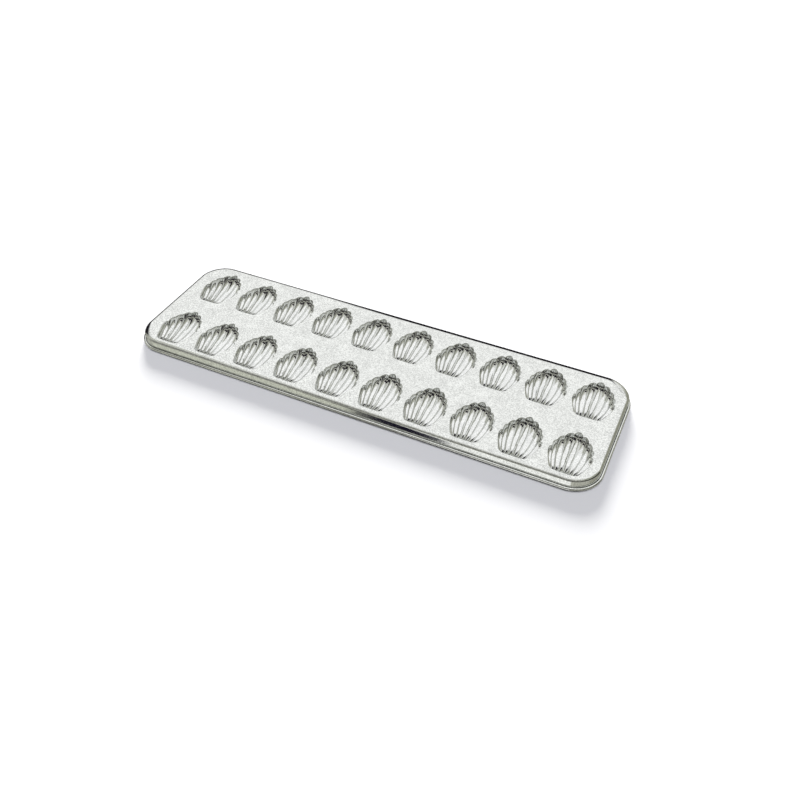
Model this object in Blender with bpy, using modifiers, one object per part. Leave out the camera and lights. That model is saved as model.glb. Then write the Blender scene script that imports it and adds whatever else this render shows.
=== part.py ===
"""Madeleine sheet: a tinplate baking sheet with two rows of ten small shell-shaped moulds.

The deck is one pressed sheet. Its edge folds down into a skirt, and the skirt's foot is rolled outwards round a
stiffening wire. Under each shell-shaped opening of the deck hangs a thin fluted cup with a narrow flange.

The origin is on the table, below the middle of the sheet. X runs along the rows, Y from the hinge side of the
shells to their fan side, and Z up.
"""

import math

import bmesh
import bpy
from mathutils import Vector

# Sheet metal and rim, in metres
SHEET = 0.0004              # thickness of the tinplate, in the deck and in the cups
CLEARANCE = 0.0003          # room between pieces that touch
FOLD_RADIUS = 0.0026        # outer face of the bend between deck and skirt
RIM_HEIGHT = 0.0096         # from the deck's top to the underside of the rolled rim
CORNER_RADIUS = 0.0188      # plan radius of the deck's flat, where the fold starts
WIRE_DIAMETER = 0.0010      # stiffening wire inside the rolled rim
ROLL_TURN = math.radians(290)

# Layout of the shells on the deck
COLUMNS = 10
ROW_NAMES = ("front", "back")
COLUMN_GAP = 0.00543        # deck between neighbours in a row
ROW_GAP = 0.0170            # deck between the fans of one row and the hinges of the next
FRONT_LAND = 0.0020         # flat deck between the hinges and the front fold
BACK_LAND = 0.0071
LEFT_LAND = 0.0108
RIGHT_LAND = 0.0055

# One shell
SHELL_LENGTH = 0.0430       # from the hinge to the tip of the middle flute
SHELL_DEPTH = 0.0110        # from the deck's top to the floor of the middle flute
HINGE_WIDTH = 0.0218        # where the hinge's rounded ends meet the sides
HINGE_ROUNDING = 0.0030     # how far the hinge's ends lie behind its middle
HINGE_ROUNDING_POWER = 6    # a higher power makes the hinge's corners tighter
HINGE_STRAIGHT = 0.55       # share of the hinge that is treated as straight
FLUTES = 9
FAN_HALF_ANGLE = math.radians(42.5)
FAN_FALL = 0.0193           # how much shorter the shell is at its widest point than in the middle
FAN_TIP_ROUNDING = 0.09     # 0 makes the fan's outline pointed in the middle, more makes it rounder
NOTCH_DEPTH = 0.0028        # of the scallops between the flutes' tips, before they fade towards the sides
NOTCH_FADE_POWER = 1.2      # a higher power makes the scallops fade sooner
EAR_NOTCH_DEPTH = 0.0024    # of the deeper scallop that sets off the outermost flute
GROOVE_DEPTH = 0.0008       # of a flute below the ridges beside it
GROOVE_SIDE = 0.25          # share of a flute's width that slopes from a ridge down to its floor
FLAT_FLOORED_FLUTES = 5     # middle flutes drawn with a flat floor, the others with a plain V
SIDE_BULGE = 0.0004         # how far the straight sides swell outwards
FLANGE_WIDTH = 0.0010       # of the cup's flange under the deck
WALL_SQUARENESS = 2.5       # 2 makes the shell's long section an ellipse, more makes its ends steeper
CROSS_FULLNESS = 1.8        # the same for the section across the flutes

# Shading
CRISP_ANGLE = math.radians(35)

# Steps of the faceted surfaces
CORNER_STEPS = 6
FOLD_STEPS = 4
ROLL_STEPS = 9
WALL_STEP_ANGLE = math.radians(35)       # round the shell's long section, between its mouth and its floor
FLOOR_START_ANGLE = math.radians(75)

# Worked out from the sizes above
ROLL_INNER_RADIUS = WIRE_DIAMETER / 2 + CLEARANCE
ROLL_OUTER_RADIUS = ROLL_INNER_RADIUS + SHEET
DECK_LEVEL = max(SHELL_DEPTH + SHEET, RIM_HEIGHT)
FLANGE_TOP = -(SHEET + CLEARANCE)
LEVELLING_REACH = SHEET / 10     # Solidify leaves a flat uneven by less than this
TO_FLOOR = (0, WALL_STEP_ANGLE, FLOOR_START_ANGLE)
LONG_SECTION_ANGLES = TO_FLOOR + tuple(math.pi - angle for angle in reversed(TO_FLOOR))


def flute_phase(u):
    """Place of u within its flute, from 0 at one ridge to 1 at the next."""
    return ((u + 1) / 2 * FLUTES) % 1


def groove(u):
    """How much of the groove's depth is reached at u: 0 on the ridges, 1 along the flute's floor."""
    distance_from_ridge = min(flute_phase(u), 1 - flute_phase(u))
    return min(1, distance_from_ridge / GROOVE_SIDE)


def column_values():
    """Values of u for the columns of facets, from -1 at the left side to 1 at the right side.

    Each flute has a column at its ridge. The middle flutes have two at their floor, which leaves a flat, and
    the shell stands on that of the very middle. The flutes beside them have one.
    """
    values = []
    for flute in range(FLUTES):
        flat_floored = abs(flute - FLUTES // 2) <= FLAT_FLOORED_FLUTES // 2
        phases = (0, GROOVE_SIDE, 1 - GROOVE_SIDE) if flat_floored else (0, 0.5)
        values += [2 * (flute + phase) / FLUTES - 1 for phase in phases]
    return values + [1]


def notch_depth(u):
    """Depth of the scallop at the ridge nearest to u. The shell's two sides have none."""
    ridge = round((u + 1) / 2 * FLUTES)
    if ridge in (0, FLUTES):
        return 0
    if ridge in (1, FLUTES - 1):
        return EAR_NOTCH_DEPTH
    return NOTCH_DEPTH * (1 - abs(2 * ridge / FLUTES - 1)) ** NOTCH_FADE_POWER


def fan_radius(u, notched):
    """Distance from the middle of the hinge to the fan's edge along the flute line u."""
    fall = math.hypot(u, FAN_TIP_ROUNDING) - FAN_TIP_ROUNDING
    whole_fall = math.hypot(1, FAN_TIP_ROUNDING) - FAN_TIP_ROUNDING
    radius = SHELL_LENGTH - FAN_FALL * fall / whole_fall
    if notched:
        radius -= notch_depth(u) * (1 - groove(u))
    return radius


def plan_point(u, s, notched=True):
    """Plan position on the flute line u, with s from 0 at the hinge to 1 at the fan."""
    angle = u * FAN_HALF_ANGLE
    radius = fan_radius(u, notched)
    hinge = Vector((u * HINGE_WIDTH / 2, HINGE_ROUNDING * abs(u) ** HINGE_ROUNDING_POWER))
    fan = Vector((radius * math.sin(angle), radius * math.cos(angle)))
    point = hinge.lerp(fan, s)
    point.x += u * SIDE_BULGE * 4 * s * (1 - s)
    return point


def long_section(angle):
    """Share of the length and of the depth that the shell's long section reaches at an angle round it."""
    reach = abs(math.cos(angle)) ** (2 / WALL_SQUARENESS)
    s = (1 - math.copysign(reach, math.cos(angle))) / 2
    return s, min(1, math.sin(angle) / math.sin(FLOOR_START_ANGLE))


def shell_point(u, angle):
    """Point of the cup's upper face on the flute line u, relative to the hinge's middle at the deck's top."""
    s, depth_share = long_section(angle)
    plan = plan_point(u, s)
    full_depth = SHELL_DEPTH + FLANGE_TOP - GROOVE_DEPTH
    cross_share = math.sqrt(1 - abs(u) ** CROSS_FULLNESS)
    groove_reach = GROOVE_DEPTH * groove(u) * depth_share
    lean = u * math.pi / 2      # the middle flute is sunk straight down and the outermost ones sideways
    return Vector((
        plan.x + groove_reach * math.sin(lean),
        plan.y,
        FLANGE_TOP - full_depth * cross_share * depth_share - groove_reach * math.cos(lean),
    ))


def mouth_path():
    """Pairs of u and section angle round the shell's mouth, anticlockwise from the hinge's left end."""
    columns = column_values()
    first, last = LONG_SECTION_ANGLES[0], LONG_SECTION_ANGLES[-1]
    between = LONG_SECTION_ANGLES[1:-1]
    path = [(u, first) for u in columns]
    path += [(1, angle) for angle in between]
    path += [(u, last) for u in reversed(columns)]
    path += [(-1, angle) for angle in reversed(between)]
    return path


def offset_outline(points, distance):
    """Moves a closed anticlockwise outline outwards by a distance, with mitred corners."""
    moved = []
    for i, point in enumerate(points):
        along_before = (point - points[i - 1]).normalized()
        along_after = (points[(i + 1) % len(points)] - point).normalized()
        out_before = Vector((along_before.y, -along_before.x))
        out_after = Vector((along_after.y, -along_after.x))
        mitre = (out_before + out_after) / (1 + out_before.dot(out_after))
        moved.append(point + mitre * distance)
    return moved


def opening_outline():
    """The shell's mouth in plan, without the points along the straight part of its hinge."""
    first = LONG_SECTION_ANGLES[0]
    bent_only = [(u, angle) for u, angle in mouth_path() if angle != first or abs(u) > HINGE_STRAIGHT]
    return [plan_point(u, long_section(angle)[0]) for u, angle in bent_only]


SHELL_WIDTH = 2 * max(point.x for point in opening_outline())
COLUMN_PITCH = SHELL_WIDTH + COLUMN_GAP
ROW_PITCH = SHELL_LENGTH + ROW_GAP
FLAT_LENGTH = LEFT_LAND + (COLUMNS - 1) * COLUMN_PITCH + SHELL_WIDTH + RIGHT_LAND
FLAT_WIDTH = FRONT_LAND + (len(ROW_NAMES) - 1) * ROW_PITCH + SHELL_LENGTH + BACK_LAND


def hinge_middle(row, column):
    """Plan position of the middle of a shell's hinge. Rows count from the front and columns from the left."""
    x = -FLAT_LENGTH / 2 + LEFT_LAND + SHELL_WIDTH / 2 + column * COLUMN_PITCH
    y = -FLAT_WIDTH / 2 + FRONT_LAND + row * ROW_PITCH
    return Vector((x, y))


def rounded_outline(reach):
    """Rounded rectangle that lies a distance outside the deck's flat, anticlockwise."""
    half_length = FLAT_LENGTH / 2 - CORNER_RADIUS
    half_width = FLAT_WIDTH / 2 - CORNER_RADIUS
    radius = CORNER_RADIUS + reach
    points = []
    for quarter, (side_x, side_y) in enumerate(((1, 1), (-1, 1), (-1, -1), (1, -1))):
        centre = Vector((side_x * half_length, side_y * half_width))
        for step in range(CORNER_STEPS + 1):
            angle = (quarter + step / CORNER_STEPS) * math.pi / 2
            points.append(centre + radius * Vector((math.cos(angle), math.sin(angle))))
    return points


def rim_section():
    """Outer face of the rim as pairs of reach outside the flat and height, from the fold round the roll."""
    section = []
    for step in range(1, FOLD_STEPS + 1):
        angle = step / FOLD_STEPS * math.pi / 2
        section.append((FOLD_RADIUS * math.sin(angle), -FOLD_RADIUS * (1 - math.cos(angle))))
    roll_reach, roll_level = roll_centre()
    for step in range(ROLL_STEPS + 1):
        angle = math.pi + step / ROLL_STEPS * ROLL_TURN
        section.append((
            roll_reach + ROLL_INNER_RADIUS * math.cos(angle),
            roll_level + ROLL_INNER_RADIUS * math.sin(angle),
        ))
    return section


def roll_centre():
    """Reach outside the flat and height of the middle of the rolled rim."""
    return FOLD_RADIUS + ROLL_INNER_RADIUS, ROLL_OUTER_RADIUS - RIM_HEIGHT


def tin_material(name, colour, roughness):
    """A bare metal with a colour and a roughness."""
    material = bpy.data.materials.new(name)
    material.use_nodes = True
    shader = material.node_tree.nodes["Principled BSDF"]
    shader.inputs["Base Color"].default_value = (*colour, 1)
    shader.inputs["Metallic"].default_value = 1
    shader.inputs["Roughness"].default_value = roughness
    return material


def add_loop(bm, points, level):
    """Adds a closed loop of edges at a height and returns the edges."""
    verts = [bm.verts.new((point.x, point.y, level)) for point in points]
    return [bm.edges.new((vert, verts[(i + 1) % len(verts)])) for i, vert in enumerate(verts)]


def face_up(bm):
    """Turns the faces of an open sheet the same way, with its upper side facing up."""
    bmesh.ops.recalc_face_normals(bm, faces=bm.faces)
    if sum(face.normal.z * face.calc_area() for face in bm.faces) < 0:
        bmesh.ops.reverse_faces(bm, faces=bm.faces)


def deck_mesh():
    """The deck's upper face with its openings, its fold, its skirt and the roll at the skirt's foot."""
    bm = bmesh.new()
    number = bm.verts.layers.int.new("number in the outline")
    outer_edges = add_loop(bm, rounded_outline(0), 0)
    for i, vert in enumerate(bm.verts):
        vert[number] = i
    fill_edges = list(outer_edges)
    opening = opening_outline()
    for row in range(len(ROW_NAMES)):
        for column in range(COLUMNS):
            hinge = hinge_middle(row, column)
            fill_edges += add_loop(bm, [hinge + point for point in opening], 0)
    bmesh.ops.triangle_fill(bm, use_beauty=True, edges=fill_edges, normal=(0, 0, 1))
    edges = outer_edges
    for reach, level in rim_section():
        points = rounded_outline(reach)
        grown = bmesh.ops.extrude_edge_only(bm, edges=edges)["geom"]
        for vert in (item for item in grown if isinstance(item, bmesh.types.BMVert)):
            point = points[vert[number]]
            vert.co = (point.x, point.y, level)
        edges = [item for item in grown if isinstance(item, bmesh.types.BMEdge)]
    face_up(bm)
    mesh = bpy.data.meshes.new("deck_sheet")
    bm.to_mesh(mesh)
    bm.free()
    return mesh


def cup_face_mesh():
    """One cup's fluted upper face with its flange, as an open sheet."""
    columns = column_values()
    rows = LONG_SECTION_ANGLES
    bm = bmesh.new()
    bmesh.ops.create_grid(bm, x_segments=len(columns) - 1, y_segments=len(rows) - 1, size=1)
    place = {}
    for vert in bm.verts:
        column = round((vert.co.x + 1) / 2 * (len(columns) - 1))
        row = round((vert.co.y + 1) / 2 * (len(rows) - 1))
        place[vert] = (columns[column], rows[row])
    mouth = mouth_path()
    unnotched = [plan_point(u, long_section(angle)[0], notched=False) for u, angle in mouth]
    flange_edge = dict(zip(mouth, offset_outline(unnotched, FLANGE_WIDTH)))
    inner_of = {vert: shell_point(*pair) for vert, pair in place.items()}
    by_corner = {(vert.co.x, vert.co.y): pair for vert, pair in place.items()}
    rim_edges = [edge for edge in bm.edges if edge.is_boundary]
    grown = bmesh.ops.extrude_edge_only(bm, edges=rim_edges)["geom"]
    for vert in (item for item in grown if isinstance(item, bmesh.types.BMVert)):
        point = flange_edge[by_corner[(vert.co.x, vert.co.y)]]
        inner_of[vert] = Vector((point.x, point.y, FLANGE_TOP))
    for vert, point in inner_of.items():
        vert.co = point
    face_up(bm)
    mesh = bpy.data.meshes.new("shell_cup_face")
    bm.to_mesh(mesh)
    bm.free()
    return mesh


def solid_cup_mesh():
    """The cup's mesh with its thickness, and with its flange and its foot level underneath."""
    pattern = bpy.data.objects.new("shell_cup_pattern", cup_face_mesh())
    bpy.context.scene.collection.objects.link(pattern)
    thicken(pattern)
    evaluated = pattern.evaluated_get(bpy.context.evaluated_depsgraph_get())
    mesh = bpy.data.meshes.new_from_object(evaluated)
    mesh.name = "shell_cup"
    bpy.data.objects.remove(pattern)
    for level in (FLANGE_TOP - SHEET, -(SHELL_DEPTH + SHEET)):
        for vertex in mesh.vertices:
            if abs(vertex.co.z - level) < LEVELLING_REACH:
                vertex.co.z = level
    return mesh


def thicken(part):
    """Gives an open sheet its thickness on the side away from its upper face."""
    solidify = part.modifiers.new("Sheet thickness", "SOLIDIFY")
    solidify.thickness = SHEET
    solidify.offset = -1
    solidify.use_even_offset = True
    solidify.use_quality_normals = True


def add_part(collection, name, data, material, location, parent=None):
    """Adds one named object to the collection."""
    part = bpy.data.objects.new(name, data)
    if not data.materials:
        data.materials.append(material)
    part.location = location
    part.parent = parent
    collection.objects.link(part)
    return part


def wire_curve():
    """The stiffening wire: a closed rounded rectangle of round wire."""
    reach, level = roll_centre()
    curve = bpy.data.curves.new("rim_wire", "CURVE")
    curve.dimensions = "3D"
    curve.bevel_depth = WIRE_DIAMETER / 2
    curve.bevel_resolution = 2
    points = rounded_outline(reach)
    spline = curve.splines.new("POLY")
    spline.points.add(len(points) - 1)
    for target, point in zip(spline.points, points):
        target.co = (point.x, point.y, level, 1)
    spline.use_cyclic_u = True
    return curve


def shade(mesh):
    """Smooth shading with crisp ridges and folds."""
    mesh.shade_smooth()
    mesh.set_sharp_from_angle(angle=CRISP_ANGLE)


def build():
    """Models the whole sheet."""
    for old in list(bpy.data.objects):
        bpy.data.objects.remove(old)
    collection = bpy.data.collections.new("Madeleine sheet")
    bpy.context.scene.collection.children.link(collection)
    deck_tin = tin_material("deck_tinplate", (0.80, 0.81, 0.80), 0.30)
    cup_tin = tin_material("cup_tinplate", (0.84, 0.84, 0.82), 0.16)
    wire_steel = tin_material("wire_steel", (0.55, 0.55, 0.56), 0.40)

    sheet = deck_mesh()
    shade(sheet)
    deck = add_part(collection, "deck_sheet", sheet, deck_tin, (0, 0, DECK_LEVEL))
    thicken(deck)
    add_part(collection, "rim_wire", wire_curve(), wire_steel, (0, 0, 0), deck)

    cup = solid_cup_mesh()
    shade(cup)
    for row, row_name in enumerate(ROW_NAMES):
        for column in range(COLUMNS):
            hinge = hinge_middle(row, column)
            name = f"shell_cup_{row_name}_{column + 1:02d}"
            add_part(collection, name, cup, cup_tin, (hinge.x, hinge.y, 0), deck)


build()
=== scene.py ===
"""Mini madeleine sheet: its finished surfaces, the table it lies on and the light round it.

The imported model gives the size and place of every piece. Each piece below is remade in finer steps in the
same place: one pressed deck with its skirt and rolled rim, the wire inside the rim, and twenty fluted shell
cups. Lengths are in metres, with the table at z = 0.
"""

import logging
import math
from dataclasses import dataclass
from enum import Enum

import bmesh
import bpy
from mathutils import Euler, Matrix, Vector


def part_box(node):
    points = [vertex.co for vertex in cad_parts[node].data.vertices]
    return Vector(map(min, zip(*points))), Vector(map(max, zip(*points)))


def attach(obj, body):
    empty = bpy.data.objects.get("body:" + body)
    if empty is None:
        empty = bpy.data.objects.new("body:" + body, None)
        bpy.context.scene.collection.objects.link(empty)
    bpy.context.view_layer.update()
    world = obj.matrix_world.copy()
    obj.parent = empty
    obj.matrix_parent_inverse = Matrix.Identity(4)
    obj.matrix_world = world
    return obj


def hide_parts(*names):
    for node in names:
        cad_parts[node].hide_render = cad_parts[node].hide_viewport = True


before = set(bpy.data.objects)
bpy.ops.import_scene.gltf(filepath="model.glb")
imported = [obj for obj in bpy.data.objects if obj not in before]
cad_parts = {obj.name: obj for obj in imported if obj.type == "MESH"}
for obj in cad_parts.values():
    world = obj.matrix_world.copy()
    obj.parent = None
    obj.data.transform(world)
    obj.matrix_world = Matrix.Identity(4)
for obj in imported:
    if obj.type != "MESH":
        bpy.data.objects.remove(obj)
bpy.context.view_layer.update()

DECK_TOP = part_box("deck_sheet")[1].z
MODEL_BODY = "root"
LOG = logging.getLogger("madeleine_sheet")

Colour = tuple[float, float, float]


# Shader arithmetic

MIX_SHARE, MIX_FIRST, MIX_SECOND, MIX_RESULT = 0, 6, 7, 2       # the Mix node's sockets for colours


@dataclass(frozen=True)
class Signal:
    """A shader socket that takes part in arithmetic, each operation adding its Math node."""

    tree: bpy.types.NodeTree
    socket: bpy.types.NodeSocket

    def combine(self, operation: str, left: "Signal | float", right: "Signal | float") -> "Signal":
        """Adds a Math node.

        Args:
            operation: The Math node's operation.
            left: First value.
            right: Second value.

        Returns:
            The node's result.
        """
        maths = self.tree.nodes.new("ShaderNodeMath")
        maths.operation = operation
        for slot, value in enumerate((left, right)):
            if isinstance(value, Signal):
                self.tree.links.new(value.socket, maths.inputs[slot])
            else:
                maths.inputs[slot].default_value = value
        return Signal(self.tree, maths.outputs[0])

    def __add__(self, other: "Signal | float") -> "Signal":
        """self + other."""
        return self.combine("ADD", self, other)

    def __sub__(self, other: "Signal | float") -> "Signal":
        """self - other."""
        return self.combine("SUBTRACT", self, other)

    def __rsub__(self, other: float) -> "Signal":
        """other - self."""
        return self.combine("SUBTRACT", other, self)

    def __mul__(self, other: "Signal | float") -> "Signal":
        """self * other."""
        return self.combine("MULTIPLY", self, other)

    def __truediv__(self, other: "Signal | float") -> "Signal":
        """self / other."""
        return self.combine("DIVIDE", self, other)

    def __pow__(self, other: float) -> "Signal":
        """self ** other."""
        return self.combine("POWER", self, other)

    def __neg__(self) -> "Signal":
        """-self."""
        return self.combine("MULTIPLY", self, -1)

    __radd__ = __add__
    __rmul__ = __mul__

    def at_most(self, ceiling: float) -> "Signal":
        """The smaller of self and a number."""
        return self.combine("MINIMUM", self, ceiling)


@dataclass(frozen=True)
class Grain:
    """Fractal noise: marks for each metre, layers of finer marks and the strength of those layers."""

    scale: float
    detail: float
    roughness: float


@dataclass(frozen=True)
class NodeKit:
    """Adds nodes to one shader tree."""

    tree: bpy.types.NodeTree

    def node(
        self, kind: str, settings: dict | None = None, values: dict | None = None, output: int | str = 0,
    ) -> Signal:
        """Adds one node.

        Args:
            kind: The node's type.
            settings: Properties of the node, set before its sockets.
            values: Numbers, colours or signals for its sockets, by socket name or number.
            output: Name or number of the output to return.

        Returns:
            The chosen output.
        """
        made = self.tree.nodes.new(kind)
        for name, value in (settings or {}).items():
            setattr(made, name, value)
        for name, value in (values or {}).items():
            if isinstance(value, Signal):
                self.tree.links.new(value.socket, made.inputs[name])
            else:
                made.inputs[name].default_value = value
        return Signal(self.tree, made.outputs[output])

    def blend(self, share: Signal, first: Signal | Colour, second: Signal | Colour) -> Signal:
        """Mixes two colours.

        Args:
            share: 0 for the first colour, 1 for the second.
            first: First colour.
            second: Second colour.

        Returns:
            The mixed colour.
        """
        first, second = (tint if isinstance(tint, Signal) else (*tint, 1) for tint in (first, second))
        settings = {"data_type": "RGBA", "clamp_factor": True}
        values = {MIX_SHARE: share, MIX_FIRST: first, MIX_SECOND: second}
        return self.node("ShaderNodeMix", settings, values, MIX_RESULT)

    def ramp(self, value: Signal, low: float, high: float, start: float = 0.0, end: float = 1.0) -> Signal:
        """Maps low..high smoothly to start..end, held at both ends."""
        settings = {"interpolation_type": "SMOOTHSTEP", "clamp": True}
        return self.node("ShaderNodeMapRange", settings, {0: value, 1: low, 2: high, 3: start, 4: end})

    def noise(self, place: Signal, grain: Grain) -> Signal:
        """Fractal noise from 0 to 1 at a place."""
        values = {"Scale": grain.scale, "Detail": grain.detail, "Roughness": grain.roughness}
        return self.node("ShaderNodeTexNoise", None, {"Vector": place, **values})

    def stretched(self, place: Signal, scale: tuple[float, float, float]) -> Signal:
        """A place scaled along each axis."""
        return self.node("ShaderNodeMapping", {"vector_type": "POINT"}, {"Vector": place, "Scale": scale})


# The sheet's form

@dataclass(frozen=True)
class ShellForm:
    """One shell, measured from the middle of its hinge at the deck's top.

    u runs from -1 to 1 across the flutes, and s from 0 at the hinge to 1 at the fan.
    """

    sheet: float = 0.0004
    clearance: float = 0.0003
    length: float = 0.0430
    depth: float = 0.0110
    hinge_width: float = 0.0218
    hinge_rounding: float = 0.0030
    hinge_rounding_power: float = 6.0
    flutes: int = 9
    fan_half_angle: float = math.radians(42.5)
    fan_fall: float = 0.0193
    fan_tip_rounding: float = 0.09
    notch_depth: float = 0.0028
    notch_fade_power: float = 1.2
    ear_notch_depth: float = 0.0024
    groove_depth: float = 0.0008
    groove_fullness: float = 0.40
    ridge_rounding: float = 0.04
    side_bulge: float = 0.0004
    flange_width: float = 0.0010
    wall_squareness: float = 2.5
    cross_fullness: float = 1.8

    @property
    def flange_top(self) -> float:
        """Level of the cup's flange below the deck's top."""
        return -(self.sheet + self.clearance)

    def groove(self, u: float) -> float:
        """Works out how deep the flutes are at u.

        Args:
            u: Place across the flutes.

        Returns:
            A share of the flutes' depth, from 0 on a rounded ridge to 1 along a floor.
        """
        wave = math.sin(math.pi * ((u + 1) / 2 * self.flutes % 1)) ** 2
        rounding = self.ridge_rounding ** 2
        low, high = rounding ** self.groove_fullness, (1 + rounding) ** self.groove_fullness
        return ((wave + rounding) ** self.groove_fullness - low) / (high - low)

    def notch(self, u: float) -> float:
        """Works out the scallop at the ridge nearest to u.

        Args:
            u: Place across the flutes.

        Returns:
            The scallop's depth.
        """
        ridge = round((u + 1) / 2 * self.flutes)
        if ridge in (0, self.flutes):
            return 0.0
        if ridge in (1, self.flutes - 1):
            return self.ear_notch_depth
        return self.notch_depth * (1 - abs(2 * ridge / self.flutes - 1)) ** self.notch_fade_power

    def fan_radius(self, u: float, notched: bool) -> float:
        """Works out the fan's edge.

        Args:
            u: Place across the flutes.
            notched: Whether the edge is scalloped.

        Returns:
            The distance from the hinge's middle to the edge.
        """
        fall = math.hypot(u, self.fan_tip_rounding) - self.fan_tip_rounding
        whole_fall = math.hypot(1, self.fan_tip_rounding) - self.fan_tip_rounding
        radius = self.length - self.fan_fall * fall / whole_fall
        if notched:
            radius -= self.notch(u) * (1 - self.groove(u))
        return radius

    def plan(self, u: float, s: float, notched: bool = True) -> Vector:
        """Works out a place in plan.

        Args:
            u: Place across the flutes.
            s: Place from the hinge to the fan.
            notched: Whether the fan's edge is scalloped.

        Returns:
            The place from the hinge's middle.
        """
        angle = u * self.fan_half_angle
        radius = self.fan_radius(u, notched)
        hinge = Vector((u * self.hinge_width / 2, self.hinge_rounding * abs(u) ** self.hinge_rounding_power))
        fan = Vector((radius * math.sin(angle), radius * math.cos(angle)))
        point = hinge.lerp(fan, s)
        point.x += u * self.side_bulge * 4 * s * (1 - s)
        return point

    def along(self, angle: float) -> float:
        """Share of the length that the long section has reached at an angle round it."""
        reach = abs(math.cos(angle)) ** (2 / self.wall_squareness)
        return (1 - math.copysign(reach, math.cos(angle))) / 2

    def point(self, u: float, angle: float) -> Vector:
        """Works out a point of the cup's upper face.

        Args:
            u: Place across the flutes.
            angle: Angle round the long section, from 0 at the hinge to half a turn at the fan.

        Returns:
            The point from the hinge's middle.
        """
        share = max(0.0, math.sin(angle))
        place = self.plan(u, self.along(angle))
        full_depth = self.depth + self.flange_top - self.groove_depth
        across = math.sqrt(max(0.0, 1 - abs(u) ** self.cross_fullness))
        reach = self.groove_depth * self.groove(u) * share
        lean = u * math.pi / 2
        level = self.flange_top - full_depth * across * share - reach * math.cos(lean)
        return Vector((place.x + reach * math.sin(lean), place.y, level))


@dataclass(frozen=True)
class MouthSteps:
    """Fine steps round a shell's mouth and over its surface."""

    form: ShellForm
    across_flute: int = 12
    along_shell: int = 56

    def columns(self) -> list[float]:
        """Works out the steps across the flutes.

        Returns:
            Values of u, closest together at the ridges.
        """
        values = []
        for flute in range(self.form.flutes):
            for step in range(self.across_flute):
                phase = (1 - math.cos(math.pi * step / self.across_flute)) / 2
                values.append(2 * (flute + phase) / self.form.flutes - 1)
        return values + [1.0]

    def rows(self) -> list[float]:
        """Angles round the long section, from the hinge to the fan."""
        return [math.pi * step / self.along_shell for step in range(self.along_shell + 1)]

    def outline(self, sides: list[float], notched: bool = True) -> list[Vector]:
        """The mouth in plan, anticlockwise from the hinge's left end.

        Args:
            sides: Shares of the length at which the straight sides have points.
            notched: Whether the fan's edge is scalloped.

        Returns:
            The mouth's points.
        """
        path = [(u, 0.0) for u in self.columns()]
        path += [(1.0, s) for s in sides]
        path += [(u, 1.0) for u in reversed(self.columns())]
        path += [(-1.0, s) for s in reversed(sides)]
        return [self.form.plan(u, s, notched) for u, s in path]


SHARPEST_MITRE = 0.4      # keeps the corners of a moved outline from running out into spikes


def grown_outline(points: list[Vector], distance: float) -> list[Vector]:
    """Moves a closed anticlockwise outline outwards.

    Args:
        points: The outline.
        distance: How far each side moves.

    Returns:
        The moved outline, point for point.
    """
    moved = []
    for number, point in enumerate(points):
        before = (point - points[number - 1]).normalized()
        after = (points[(number + 1) % len(points)] - point).normalized()
        out_before = Vector((before.y, -before.x))
        out_after = Vector((after.y, -after.x))
        mitre = (out_before + out_after) / max(SHARPEST_MITRE, 1 + out_before.dot(out_after))
        moved.append(point + mitre * distance)
    return moved


Loop = list[bmesh.types.BMEdge]


class SheetMesh:
    """Builds one closed sheet from loops that are filled and extruded."""

    def __init__(self) -> None:
        """Starts an empty mesh whose points remember their number in the loop."""
        self.bm = bmesh.new()
        self.number = self.bm.verts.layers.int.new("number")

    def loop(self, places: list[Vector]) -> Loop:
        """Adds a closed loop of edges.

        Args:
            places: The loop's points.

        Returns:
            Its edges.
        """
        verts = [self.bm.verts.new(place) for place in places]
        for number, vert in enumerate(verts):
            vert[self.number] = number
        return [self.bm.edges.new((vert, verts[(i + 1) % len(verts)])) for i, vert in enumerate(verts)]

    def extrude(self, edges: Loop, places: list[Vector]) -> Loop:
        """Extrudes a loop to new places.

        Args:
            edges: The loop.
            places: The new places, point for point.

        Returns:
            The new loop's edges.
        """
        grown = bmesh.ops.extrude_edge_only(self.bm, edges=edges)["geom"]
        for vert in (item for item in grown if isinstance(item, bmesh.types.BMVert)):
            vert.co = places[vert[self.number]]
        return [item for item in grown if isinstance(item, bmesh.types.BMEdge)]

    def fill(self, loops: tuple[Loop, ...]) -> None:
        """Fills the flat area between an outer loop and the loops inside it."""
        edges = [edge for loop in loops for edge in loop]
        bmesh.ops.triangle_fill(self.bm, use_beauty=True, edges=edges, normal=(0, 0, 1))

    def finish(self, name: str) -> bpy.types.Mesh:
        """Turns the closed sheet's faces outwards.

        Args:
            name: Name of the mesh.

        Returns:
            The mesh.
        """
        bmesh.ops.recalc_face_normals(self.bm, faces=self.bm.faces)
        mesh = bpy.data.meshes.new(name)
        self.bm.to_mesh(mesh)
        self.bm.free()
        return mesh


def at_level(points: list[Vector], level: float) -> list[Vector]:
    """Plan points lifted to a level."""
    return [Vector((point.x, point.y, level)) for point in points]


class Slot(Enum):
    """Three material names, which nothing in the script uses."""

    DECK = "deck_tin"
    SHELL = "shell_tin"
    WIRE = "wire"


def add_piece(
    name: str, mesh: bpy.types.Mesh, material: bpy.types.Material, node: str,
) -> bpy.types.Object:
    """Adds one finished piece to the scene and hides the CAD node that it stands for.

    Args:
        name: The piece's name.
        mesh: Its mesh, in place.
        material: Its finish.
        node: CAD node that it replaces.

    Returns:
        The piece.
    """
    piece = bpy.data.objects.new(name, mesh)
    bpy.context.scene.collection.objects.link(piece)
    mesh.materials.append(material)
    mesh.shade_smooth()
    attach(piece, MODEL_BODY)
    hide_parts(node)
    return piece


def thicken(piece: bpy.types.Object, thickness: float) -> None:
    """Gives an open sheet its thickness, on the side away from its upper face.

    Args:
        piece: The open sheet.
        thickness: Its thickness.
    """
    solidify = piece.modifiers.new("Sheet thickness", "SOLIDIFY")
    solidify.thickness = thickness
    solidify.offset = -1
    solidify.use_even_offset = False
    solidify.use_quality_normals = True


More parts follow.
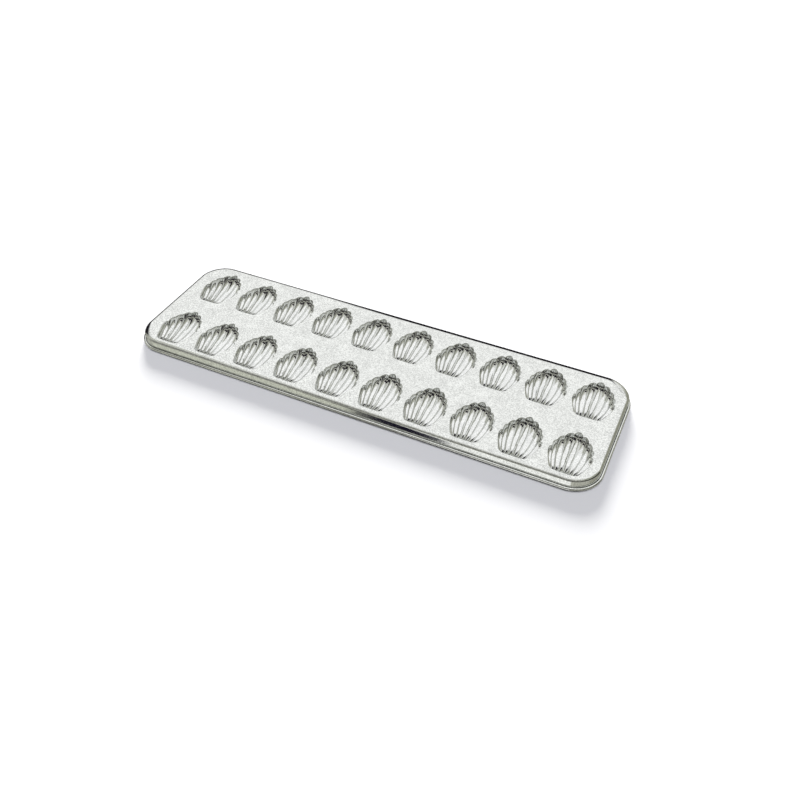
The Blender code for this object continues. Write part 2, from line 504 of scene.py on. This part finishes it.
# Finishes

@dataclass(frozen=True)
class FoldWear:
    """Wear from handling along the front fold, which makes the tin there duller."""

    roughness: float
    forward: tuple[float, float] = (0.0520, 0.0550)
    lower: tuple[float, float] = (0.0092, 0.0099)
    upper: tuple[float, float] = (0.0108, 0.0113)

    def added(self, kit: NodeKit, place: Signal) -> Signal:
        """Works out the wear: whole on the front fold, and none on the deck, the skirt and the other edges.

        Args:
            kit: The material's nodes.
            place: Object coordinates.

        Returns:
            What the wear adds to the roughness.
        """
        forward = -kit.node("ShaderNodeSeparateXYZ", None, {"Vector": place}, "Y")
        level = kit.node("ShaderNodeSeparateXYZ", None, {"Vector": place}, "Z")
        above = kit.ramp(level, *self.lower)
        below = kit.ramp(-level, -self.upper[1], -self.upper[0])
        return kit.ramp(forward, *self.forward) * above * below * self.roughness


@dataclass(frozen=True)
class Tinplate:
    """Bright tinned sheet: pale, slightly uneven in tone, with fine grain, drawing lines and faint dents."""

    name: str
    dark: Colour = (0.55, 0.56, 0.545)
    pale: Colour = (0.90, 0.915, 0.89)
    gloss: float = 0.05
    dull: float = 0.11
    speckle: Grain = Grain(1000.0, 3.0, 0.6)
    clouds: Grain = Grain(90.0, 3.0, 0.55)
    dents: Grain = Grain(28.0, 1.0, 0.4)
    lines: Grain = Grain(1.0, 2.0, 0.5)
    line_scale: tuple[float, float, float] = (78.0, 2600.0, 2600.0)
    speckle_in_tone: float = 0.80
    tone_range: tuple[float, float] = (0.32, 0.68)
    speckle_in_gloss: float = 0.40
    gloss_range: tuple[float, float] = (0.25, 0.75)
    speckle_height: float = 0.000004
    dent_height: float = 0.00012
    line_height: float = 0.000003
    wear: FoldWear | None = None

    def material(self) -> bpy.types.Material:
        """Builds the finish.

        Returns:
            Its material.
        """
        material = bpy.data.materials.new(self.name)
        material.use_nodes = True
        tree = material.node_tree
        kit = NodeKit(tree)
        place = kit.node("ShaderNodeTexCoord", output="Object")
        speckle = kit.noise(place, self.speckle)
        clouds = kit.noise(place, self.clouds)
        dents = kit.noise(place, self.dents)
        lines = kit.noise(kit.stretched(place, self.line_scale), self.lines)
        tone = speckle * self.speckle_in_tone + clouds * (1 - self.speckle_in_tone)
        colour = kit.blend(kit.ramp(tone, *self.tone_range), self.dark, self.pale)
        dullness = clouds * (1 - self.speckle_in_gloss) + speckle * self.speckle_in_gloss
        roughness = kit.ramp(dullness, *self.gloss_range, self.gloss, self.dull)
        if self.wear:
            roughness = roughness + self.wear.added(kit, place)
        height = speckle * self.speckle_height + dents * self.dent_height + lines * self.line_height
        relief = {"Height": height, "Distance": 1.0, "Strength": 1.0}
        bump = kit.node("ShaderNodeBump", None, relief, "Normal")
        shader = tree.nodes["Principled BSDF"]
        shader.inputs["Metallic"].default_value = 1.0
        tree.links.new(colour.socket, shader.inputs["Base Color"])
        tree.links.new(roughness.socket, shader.inputs["Roughness"])
        tree.links.new(bump.socket, shader.inputs["Normal"])
        return material


# The object's pieces

@dataclass
class ShellCups:
    """The twenty fluted cups under the deck."""

    form: ShellForm = ShellForm()
    columns: int = 10
    row_names: tuple[str, str] = ("front", "back")

    def node_name(self, row: str, column: int) -> str:
        """Name of a cup's CAD node."""
        return f"shell_cup_{row}_{column:02d}"

    def hinge(self, row: str, column: int) -> Vector:
        """Middle of a cup's hinge in plan, from the cup's packed box."""
        low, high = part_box(self.node_name(row, column))
        return Vector(((low.x + high.x) / 2, low.y + self.form.flange_width))

    def hinges(self) -> list[tuple[str, int, Vector]]:
        """Row, column and hinge of every cup."""
        return [(row, column, self.hinge(row, column))
                for row in self.row_names for column in range(1, self.columns + 1)]

    def pattern(self) -> bpy.types.Mesh:
        """Builds one cup's upper face and flange as an open sheet.

        Returns:
            The sheet, with the middle of its hinge at the origin.
        """
        steps = MouthSteps(self.form)
        across, along = steps.columns(), steps.rows()
        bm = bmesh.new()
        bm.loops.layers.uv.new("flutes")
        bmesh.ops.create_grid(
            bm, x_segments=len(across) - 1, y_segments=len(along) - 1, size=1, calc_uvs=True,
        )
        number = bm.verts.layers.int.new("number")
        sides = [self.form.along(angle) for angle in along[1:-1]]
        outline = grown_outline(steps.outline(sides, notched=False), self.form.flange_width)
        place_of = {}
        for vert in bm.verts:
            column = round((vert.co.x + 1) / 2 * (len(across) - 1))
            row = round((vert.co.y + 1) / 2 * (len(along) - 1))
            vert[number] = self.outline_number(column, row, len(across), len(along))
            place_of[vert] = self.form.point(across[column], along[row])
        for vert, place in place_of.items():
            vert.co = place
        rim = [edge for edge in bm.edges if edge.is_boundary]
        grown = bmesh.ops.extrude_edge_only(bm, edges=rim)["geom"]
        for vert in (item for item in grown if isinstance(item, bmesh.types.BMVert)):
            point = outline[vert[number]]
            vert.co = (point.x, point.y, self.form.flange_top)
        bmesh.ops.recalc_face_normals(bm, faces=bm.faces)
        if sum(face.normal.z * face.calc_area() for face in bm.faces) < 0:
            bmesh.ops.reverse_faces(bm, faces=bm.faces)
        mesh = bpy.data.meshes.new("shell_cup_pattern")
        bm.to_mesh(mesh)
        bm.free()
        return mesh

    @staticmethod
    def outline_number(column: int, row: int, columns: int, rows: int) -> int:
        """Numbers a grid point in the mouth's outline.

        Args:
            column: The point's column.
            row: The point's row.
            columns: Points in a row of the grid.
            rows: Points in a column of the grid.

        Returns:
            Its number, anticlockwise from the hinge's left end, or 0 inside the grid.
        """
        if row == 0:
            return column
        if column == columns - 1 and row < rows - 1:
            return columns - 1 + row
        if row == rows - 1:
            return columns + rows - 2 + (columns - 1 - column)
        if column == 0:
            return 2 * columns + rows - 3 + (rows - 1 - row)
        return 0

    def build(self) -> list[bpy.types.Object]:
        """Builds and dresses the cups.

        Returns:
            Every cup.
        """
        pattern = self.pattern()
        finish = Tinplate(
            "shell_tinplate", dark=(0.66, 0.67, 0.66), pale=(0.90, 0.91, 0.90),
            gloss=0.04, dull=0.08, dent_height=0.00003,
        ).material()
        made = []
        for row, column, hinge in self.hinges():
            mesh = pattern.copy()
            for vertex in mesh.vertices:
                vertex.co += Vector((hinge.x, hinge.y, DECK_TOP))
            name = self.node_name(row, column)
            cup = add_piece(f"{name}_drawn", mesh, finish, name)
            thicken(cup, self.form.sheet)
            made.append(cup)
        bpy.data.meshes.remove(pattern)
        return made


@dataclass(frozen=True)
class Shoulder:
    """How far inside the flat's nominal edge the fold begins, on each side and at each corner, in metres."""

    right: float = 0.0005
    back: float = 0.0024
    left: float = 0.0015
    front: float = 0.0008
    back_right: float = 0.0060
    back_left: float = 0.0030
    front_left: float = 0.0040
    front_right: float = 0.0004

    def at(self, quarter: int, turn: float) -> float:
        """Start of the fold round a corner.

        Args:
            quarter: The corner, anticlockwise from the back right one.
            turn: Share of the corner's quarter turn, from 0 to 1.

        Returns:
            The distance inside the nominal edge.
        """
        sides = (self.right, self.back, self.left, self.front, self.right)
        corners = (self.back_right, self.back_left, self.front_left, self.front_right)
        angle = turn * math.pi / 2
        from_sides = sides[quarter] * math.cos(angle) ** 2 + sides[quarter + 1] * math.sin(angle) ** 2
        share = math.sin(2 * angle) ** 2
        return from_sides * (1 - share) + corners[quarter] * share


@dataclass
class RimForm:
    """Plan and section of the deck's edge: fold, skirt and the roll round the wire."""

    sheet: float = 0.0004
    clearance: float = 0.0003
    fold_radius: float = 0.0026
    height: float = 0.0096
    corner_radius: float = 0.0188
    wire_diameter: float = 0.0010
    roll_turn: float = math.radians(290)
    shoulder: Shoulder = Shoulder()
    support: float = 0.0003
    corner_steps: int = 32
    fold_steps: int = 16
    roll_steps: int = 30
    end_steps: int = 4

    @property
    def roll_inner_radius(self) -> float:
        """Inner radius of the roll."""
        return self.wire_diameter / 2 + self.clearance

    @property
    def roll_outer_radius(self) -> float:
        """Outer radius of the roll."""
        return self.roll_inner_radius + self.sheet

    @property
    def roll_centre(self) -> Vector:
        """Reach outside the deck's flat and level below its top of the wire's middle."""
        return Vector((self.fold_radius + self.roll_inner_radius, self.roll_outer_radius - self.height))

    @property
    def reach(self) -> float:
        """How far the rolled rim stands outside the deck's flat."""
        return self.roll_centre.x + self.roll_outer_radius

    def stations(self, low: Vector, high: Vector) -> list[tuple[Vector, Vector, float]]:
        """Stations round the rim, anticlockwise.

        Args:
            low: Lowest corner of the whole rim.
            high: Highest corner of the whole rim.

        Returns:
            For each station its place on the flat's nominal edge, the way out and the start of the fold.
        """
        inset = self.reach + self.corner_radius
        corners = [(high.x - inset, high.y - inset), (low.x + inset, high.y - inset),
                   (low.x + inset, low.y + inset), (high.x - inset, low.y + inset)]
        found = []
        for quarter, corner in enumerate(corners):
            for step in range(self.corner_steps + 1):
                turn = step / self.corner_steps
                angle = (quarter + turn) * math.pi / 2
                out = Vector((math.cos(angle), math.sin(angle)))
                edge = Vector(corner) + out * self.corner_radius
                found.append((edge, out, self.shoulder.at(quarter, turn)))
        return found

    def fold(self, start: float, inset: float) -> list[Vector]:
        """The fold's upper face, or a face parallel to it.

        Args:
            start: How far inside the nominal edge the fold begins.
            inset: Depth below the upper face.

        Returns:
            Pairs of reach and level, from the flat to the skirt.
        """
        wide, high = self.fold_radius + start, self.fold_radius
        pairs = []
        for step in range(self.fold_steps + 1):
            angle = step / self.fold_steps * math.pi / 2
            face = Vector((wide * math.sin(angle) - start, high * (math.cos(angle) - 1)))
            outwards = Vector((high * math.sin(angle), wide * math.cos(angle))).normalized()
            pairs.append(face - outwards * inset)
        return pairs

    def arc(self, centre: Vector, radius: float, first: float, turn: float, steps: int) -> list[Vector]:
        """Works out an arc in the section.

        Args:
            centre: Its centre.
            radius: Its radius.
            first: Angle of its first point.
            turn: How far it turns, anticlockwise.
            steps: Its number of steps.

        Returns:
            Pairs of reach and level.
        """
        angles = [first + turn * step / steps for step in range(steps + 1)]
        return [centre + radius * Vector((math.cos(angle), math.sin(angle))) for angle in angles]

    def section(self, start: float) -> list[Vector]:
        """Closed way round the rim's section, from the deck's top over the roll to the deck's underside.

        Args:
            start: How far inside the nominal edge the fold begins.

        Returns:
            Pairs of reach and level.
        """
        centre = self.roll_centre
        last = math.pi + self.roll_turn
        middle = self.roll_inner_radius + self.sheet / 2
        end = centre + middle * Vector((math.cos(last), math.sin(last)))
        inside, outside = (
            self.arc(centre, radius, math.pi, self.roll_turn, self.roll_steps)
            for radius in (self.roll_inner_radius, self.roll_outer_radius)
        )
        cut = self.arc(end, self.sheet / 2, last + math.pi, -math.pi, self.end_steps)[1:-1]
        upper = self.fold(start, 0) + inside
        under = self.fold(start, self.sheet) + outside
        flat = Vector((-start - self.support, 0))
        return [flat] + upper + cut + under[::-1] + [flat - Vector((0, self.sheet))]


@dataclass
class DeckSheet:
    """The pressed deck with its openings, fold, skirt and rolled rim."""

    cups: ShellCups
    rim: RimForm
    land: float = 0.0005
    lip_radius: float = 0.00032
    under_edge_radius: float = 0.00006
    lip_steps: int = 5
    side_steps: int = 18
    flute_steps: int = 8

    def lip(self) -> list[tuple[float, float]]:
        """Works out the rounded section of an opening's edge.

        Returns:
            Pairs of distance outside the mouth and level below the deck's top.
        """
        pairs = []
        for radius, level, first in ((self.lip_radius, -self.lip_radius, 0),
                                     (self.under_edge_radius, self.under_edge_radius - self.rim.sheet, 1)):
            for step in range(self.lip_steps + 1):
                angle = (first + step / self.lip_steps) * math.pi / 2
                pairs.append((radius * (1 - math.sin(angle)), level + radius * math.cos(angle)))
        return pairs

    def add_rim(self, sheet: SheetMesh) -> tuple[Loop, Loop]:
        """Adds the fold, the skirt and the rolled rim.

        Args:
            sheet: The deck's mesh.

        Returns:
            The loops that the deck's top and underside run up to.
        """
        stations = self.rim.stations(*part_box("deck_sheet"))
        sections = [self.rim.section(start) for _, _, start in stations]
        loops = []
        for part in range(len(sections[0])):
            places = [Vector((*(place + out * way[part].x), DECK_TOP + way[part].y))
                      for (place, out, _), way in zip(stations, sections)]
            loops.append(sheet.extrude(loops[-1], places) if loops else sheet.loop(places))
        return loops[0], loops[-1]

    def opening_section(self) -> list[tuple[list[Vector], float]]:
        """Works out an opening's edge, from the deck's top round the lip to its underside.

        Returns:
            Outlines from the middle of the shell's hinge, each with its level below the deck's top.
        """
        sides = [step / self.side_steps for step in range(1, self.side_steps)]
        steps = MouthSteps(self.cups.form, across_flute=self.flute_steps)
        mouth, plain = steps.outline(sides), steps.outline(sides, notched=False)
        outwards = [far - near for near, far in zip(plain, grown_outline(plain, 1.0))]
        land = [point + way * self.land for point, way in zip(plain, outwards)]
        lip = [([point + way * distance for point, way in zip(mouth, outwards)], level)
               for distance, level in self.lip()]
        return [(land, 0.0)] + lip + [(land, -self.rim.sheet)]

    def add_opening(
        self, sheet: SheetMesh, hinge: Vector, section: list[tuple[list[Vector], float]],
    ) -> tuple[Loop, Loop]:
        """Adds one opening's edge.

        Args:
            sheet: The deck's mesh.
            hinge: Middle of the shell's hinge.
            section: The opening's edge, as opening_section gives it.

        Returns:
            The loops that the deck's top and underside run up to.
        """
        loops = []
        for outline, level in section:
            places = at_level([hinge + point for point in outline], DECK_TOP + level)
            loops.append(sheet.extrude(loops[-1], places) if loops else sheet.loop(places))
        return loops[0], loops[-1]

    def build(self) -> list[bpy.types.Object]:
        """Builds and dresses the deck.

        Returns:
            The deck alone.
        """
        sheet = SheetMesh()
        section = self.opening_section()
        edges = [self.add_rim(sheet)]
        edges += [self.add_opening(sheet, hinge, section) for _, _, hinge in self.cups.hinges()]
        for loops in zip(*edges):
            sheet.fill(loops)
        mesh = sheet.finish("deck_sheet_pressed")
        finish = Tinplate("deck_tinplate", wear=FoldWear(roughness=0.30)).material()
        return [add_piece("deck_sheet_pressed", mesh, finish, "deck_sheet")]


@dataclass
class RimWire:
    """The stiffening wire inside the rolled rim."""

    rim: RimForm
    round_steps: int = 6

    def build(self) -> list[bpy.types.Object]:
        """Builds and dresses the wire.

        Returns:
            The wire alone.
        """
        centre = self.rim.roll_centre
        curve = bpy.data.curves.new("rim_wire_drawn", "CURVE")
        curve.dimensions = "3D"
        curve.bevel_depth = self.rim.wire_diameter / 2
        curve.bevel_resolution = self.round_steps
        points = [place + out * centre.x for place, out, _ in self.rim.stations(*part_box("deck_sheet"))]
        spline = curve.splines.new("POLY")
        spline.points.add(len(points) - 1)
        for target, point in zip(spline.points, points):
            target.co = (point.x, point.y, DECK_TOP + centre.y, 1)
        spline.use_cyclic_u = True
        guide = bpy.data.objects.new("rim_wire_guide", curve)
        bpy.context.scene.collection.objects.link(guide)
        mesh = bpy.data.meshes.new_from_object(guide.evaluated_get(bpy.context.evaluated_depsgraph_get()))
        bpy.data.objects.remove(guide)
        finish = Tinplate(
            "wire_steel", dark=(0.42, 0.42, 0.43), pale=(0.58, 0.58, 0.59), gloss=0.3, dull=0.45,
        ).material()
        return [add_piece("rim_wire_drawn", mesh, finish, "rim_wire")]


# The table, the light and the camera

Direction = tuple[Signal, Signal, Signal]
SMALLEST_SQUARE = 0.000001      # keeps a division finite for a look straight up or down
NARROWEST_EDGE = 0.0001         # keeps a card's soft edge from having no width


@dataclass(frozen=True)
class Card:
    """A patch of the room that the metal mirrors. Angles are in degrees, azimuths anticlockwise from +X."""

    azimuth: float
    half_width: float
    low: float
    high: float
    colour: Colour
    softness: float

    def paint(self, kit: NodeKit, direction: Direction, room: Signal) -> Signal:
        """Paints the card over the room.

        Args:
            kit: The world's nodes.
            direction: The way looked in, as its three components.
            room: Colour of the room so far.

        Returns:
            The room's colour with the card.
        """
        x, y, z = direction
        middle, soft = math.radians(self.azimuth), self.softness
        flat_length = (x * x + y * y + SMALLEST_SQUARE) ** 0.5
        along = (x * math.cos(middle) + y * math.sin(middle)) / flat_length
        inside, outside = max(self.half_width - soft, 0.0), min(self.half_width + soft, 180.0)
        share = kit.ramp(along, math.cos(math.radians(outside)), math.cos(math.radians(inside)))
        for edge, start in ((self.low, 0.0), (self.high, 1.0)):
            under, over = (
                math.sin(math.radians(max(-90.0, min(90.0, edge + side * soft)))) for side in (-1, 1)
            )
            share = share * kit.ramp(z, under, over + NARROWEST_EDGE, start, 1.0 - start)
        return kit.blend(share, room, self.colour)


@dataclass(frozen=True)
class Canopy:
    """The bright round cloth overhead. Its angles are in degrees, and its edge and middle are cosines."""

    azimuth: float = 108.0
    elevation: float = 64.0
    edge: float = 0.42
    middle: float = 0.80
    colour: Colour = (1.10, 1.10, 1.10)

    def paint(self, kit: NodeKit, direction: Direction, walls: Colour) -> Signal:
        """Paints the canopy over the walls.

        Args:
            kit: The world's nodes.
            direction: The way looked in, as its three components.
            walls: Colour of the walls.

        Returns:
            The room's colour.
        """
        turn, rise = math.radians(self.azimuth), math.radians(self.elevation)
        x, y, z = math.cos(turn) * math.cos(rise), math.sin(turn) * math.cos(rise), math.sin(rise)
        nearness = direction[0] * x + direction[1] * y + direction[2] * z
        return kit.blend(kit.ramp(nearness, self.edge, self.middle), walls, self.colour)


@dataclass(frozen=True)
class Lamp:
    """A broad, distant lamp that lights the table but isn't mirrored. Angles are in degrees."""

    name: str
    azimuth: float
    elevation: float
    breadth: float
    strength: float
    colour: Colour

    def add(self) -> None:
        """Adds the lamp to the scene."""
        light = bpy.data.lights.new(self.name, "SUN")
        light.angle = math.radians(self.breadth)
        light.energy = self.strength
        light.color = self.colour
        lamp = bpy.data.objects.new(self.name, light)
        azimuth, elevation = math.radians(self.azimuth), math.radians(self.elevation)
        towards = Vector((math.cos(azimuth), math.sin(azimuth), math.tan(elevation))).normalized()
        lamp.location = towards
        lamp.rotation_euler = (-towards).to_track_quat("-Z", "Y").to_euler()
        lamp.visible_glossy = False
        lamp.visible_camera = False
        bpy.context.scene.collection.objects.link(lamp)


BLACK_CLOTH = (0.012, 0.010, 0.014)
BLACK_PAPER = (0.020, 0.015, 0.024)

# Each card's azimuth, half width, lowest and highest angle, colour and softness, and where the metal shows it
CARDS = (
    # painted shade: this dark patch at the room's foot stands for the table's shade under the pan, mirrored
    # low on the rolled rim's front
    Card(0, 180, -90, -62, (0.04, 0.04, 0.045), 6.0),           # low on the rolled rim's front
    Card(5, 32, 10, 50, (0.42, 0.43, 0.36), 6.0),               # in the left flutes
    Card(-175, 22, 30, 60, (0.60, 0.61, 0.54), 6.0),            # in the right flutes
    Card(-108, 52, 46, 62, (0.85, 0.85, 0.80), 3.0),            # above the black in the flutes' tips
    Card(40, 42, -50, 32, (0.34, 0.34, 0.28), 8.0),             # on the right end, and left of the hinges
    Card(128, 20, -60, 13, BLACK_CLOTH, 3.0),                   # on the far fold, towards its left end
    Card(158, 12, -60, 32, BLACK_CLOTH, 4.0),                   # on the front left corner
    Card(103, 13, -60, 34, BLACK_CLOTH, 3.0),                   # by the hinges and along the far fold
    Card(-108, 50, 30, 47, BLACK_PAPER, 1.0),                   # in the flutes' tips
    Card(-108, 50, 9, 21, BLACK_PAPER, 1.0),                    # a second line in the tips
    Card(-30, 60, -14, 20, (0.05, 0.05, 0.05), 5.0),            # on the shells' far edges and a rim corner
    Card(-134, 17, -58, -16, (0.64, 0.65, 0.56), 2.0),          # in the skirt's left half
    Card(-92, 20, -58, -16, (1.10, 1.10, 1.08), 0.8),           # in the skirt's right half
    Card(-113.4, 4.5, -58, -16, (0.012, 0.010, 0.022), 0.8),    # the skirt's black patch
)


@dataclass
class Studio:
    """White table, soft lamps, the room that the metal mirrors, and the photograph's camera."""

    table_size: float = 6.0
    table_colour: Colour = (0.90, 0.90, 0.90)
    table_roughness: float = 0.9
    camera_place: tuple[float, float, float] = (0.22965, -0.44025, 0.4318)
    camera_turn: tuple[float, float, float] = (46.771, 0.0, 25.340)
    lens: float = 36.486
    sensor: float = 36.0
    nearest_seen: float = 0.01
    lamps: tuple[Lamp, ...] = (
        Lamp(
            "soft_lamp", azimuth=116.0, elevation=15.0, breadth=27.0, strength=8.2,
            colour=(1.0, 0.99, 0.96),
        ),
        Lamp(
            "fill_lamp", azimuth=-65.0, elevation=65.0, breadth=40.0, strength=2.04,
            colour=(0.94, 0.95, 1.0),
        ),
    )
    fill: Colour = (0.10, 0.10, 0.105)
    backdrop: Colour = (1.0, 1.0, 1.0)
    walls: Colour = (0.50, 0.50, 0.44)
    canopy: Canopy = Canopy()
    cards: tuple[Card, ...] = CARDS

    def build(self) -> None:
        """Adds the table, the room, the lamps and the camera."""
        self.add_table()
        self.add_room()
        for lamp in self.lamps:
            lamp.add()
        self.add_camera()
        bpy.context.scene.view_settings.view_transform = "Standard"

    def add_table(self) -> None:
        """Adds the pale table top, which lights the scene and takes the shadow but isn't mirrored."""
        bm = bmesh.new()
        bmesh.ops.create_grid(bm, x_segments=1, y_segments=1, size=self.table_size / 2)
        mesh = bpy.data.meshes.new("table_top")
        bm.to_mesh(mesh)
        bm.free()
        table = bpy.data.objects.new("table_top", mesh)
        bpy.context.scene.collection.objects.link(table)
        table.visible_glossy = False
        material = bpy.data.materials.new("table_paint")
        material.use_nodes = True
        shader = material.node_tree.nodes["Principled BSDF"]
        shader.inputs["Base Color"].default_value = (*self.table_colour, 1)
        shader.inputs["Roughness"].default_value = self.table_roughness
        shader.inputs["Specular IOR Level"].default_value = 0.0
        mesh.materials.append(material)

    def add_room(self) -> None:
        """Surrounds the scene with a plain fill light and, in the metal's reflections, the painted room."""
        world = bpy.data.worlds.new("studio")
        bpy.context.scene.world = world
        world.use_nodes = True
        kit = NodeKit(world.node_tree)
        place = kit.node("ShaderNodeTexCoord", output="Generated")
        direction = tuple(kit.node("ShaderNodeSeparateXYZ", None, {0: place}, axis) for axis in range(3))
        room = self.canopy.paint(kit, direction, self.walls)
        for card in self.cards:
            room = card.paint(kit, direction, room)
        spread = kit.node("ShaderNodeLightPath", output="Diffuse Depth").at_most(1.0)
        mirrored = kit.node("ShaderNodeLightPath", output="Is Glossy Ray") * (1.0 - spread)
        seen = kit.node("ShaderNodeLightPath", output="Is Camera Ray")
        light = kit.blend(seen, kit.blend(mirrored, self.fill, room), self.backdrop)
        background = world.node_tree.nodes["Background"]
        world.node_tree.links.new(light.socket, background.inputs["Color"])

    def add_camera(self) -> None:
        """Adds the camera at the photograph's place."""
        data = bpy.data.cameras.new("photo_camera")
        data.lens = self.lens
        data.sensor_width = self.sensor
        data.sensor_fit = "HORIZONTAL"
        data.clip_start = self.nearest_seen
        camera = bpy.data.objects.new("photo_camera", data)
        camera.location = self.camera_place
        camera.rotation_euler = Euler([math.radians(angle) for angle in self.camera_turn])
        bpy.context.scene.collection.objects.link(camera)
        bpy.context.scene.camera = camera


def main() -> None:
    """Builds the object and its studio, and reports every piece."""
    logging.basicConfig(level=logging.INFO, format="%(message)s")
    cups = ShellCups()
    rim = RimForm()
    for assembly in (DeckSheet(cups, rim), RimWire(rim), cups):
        for piece in assembly.build():
            LOG.info("%s: %d points", piece.name, len(piece.data.vertices))
    Studio().build()
    bpy.context.view_layer.update()


if __name__ == "__main__":
    main()
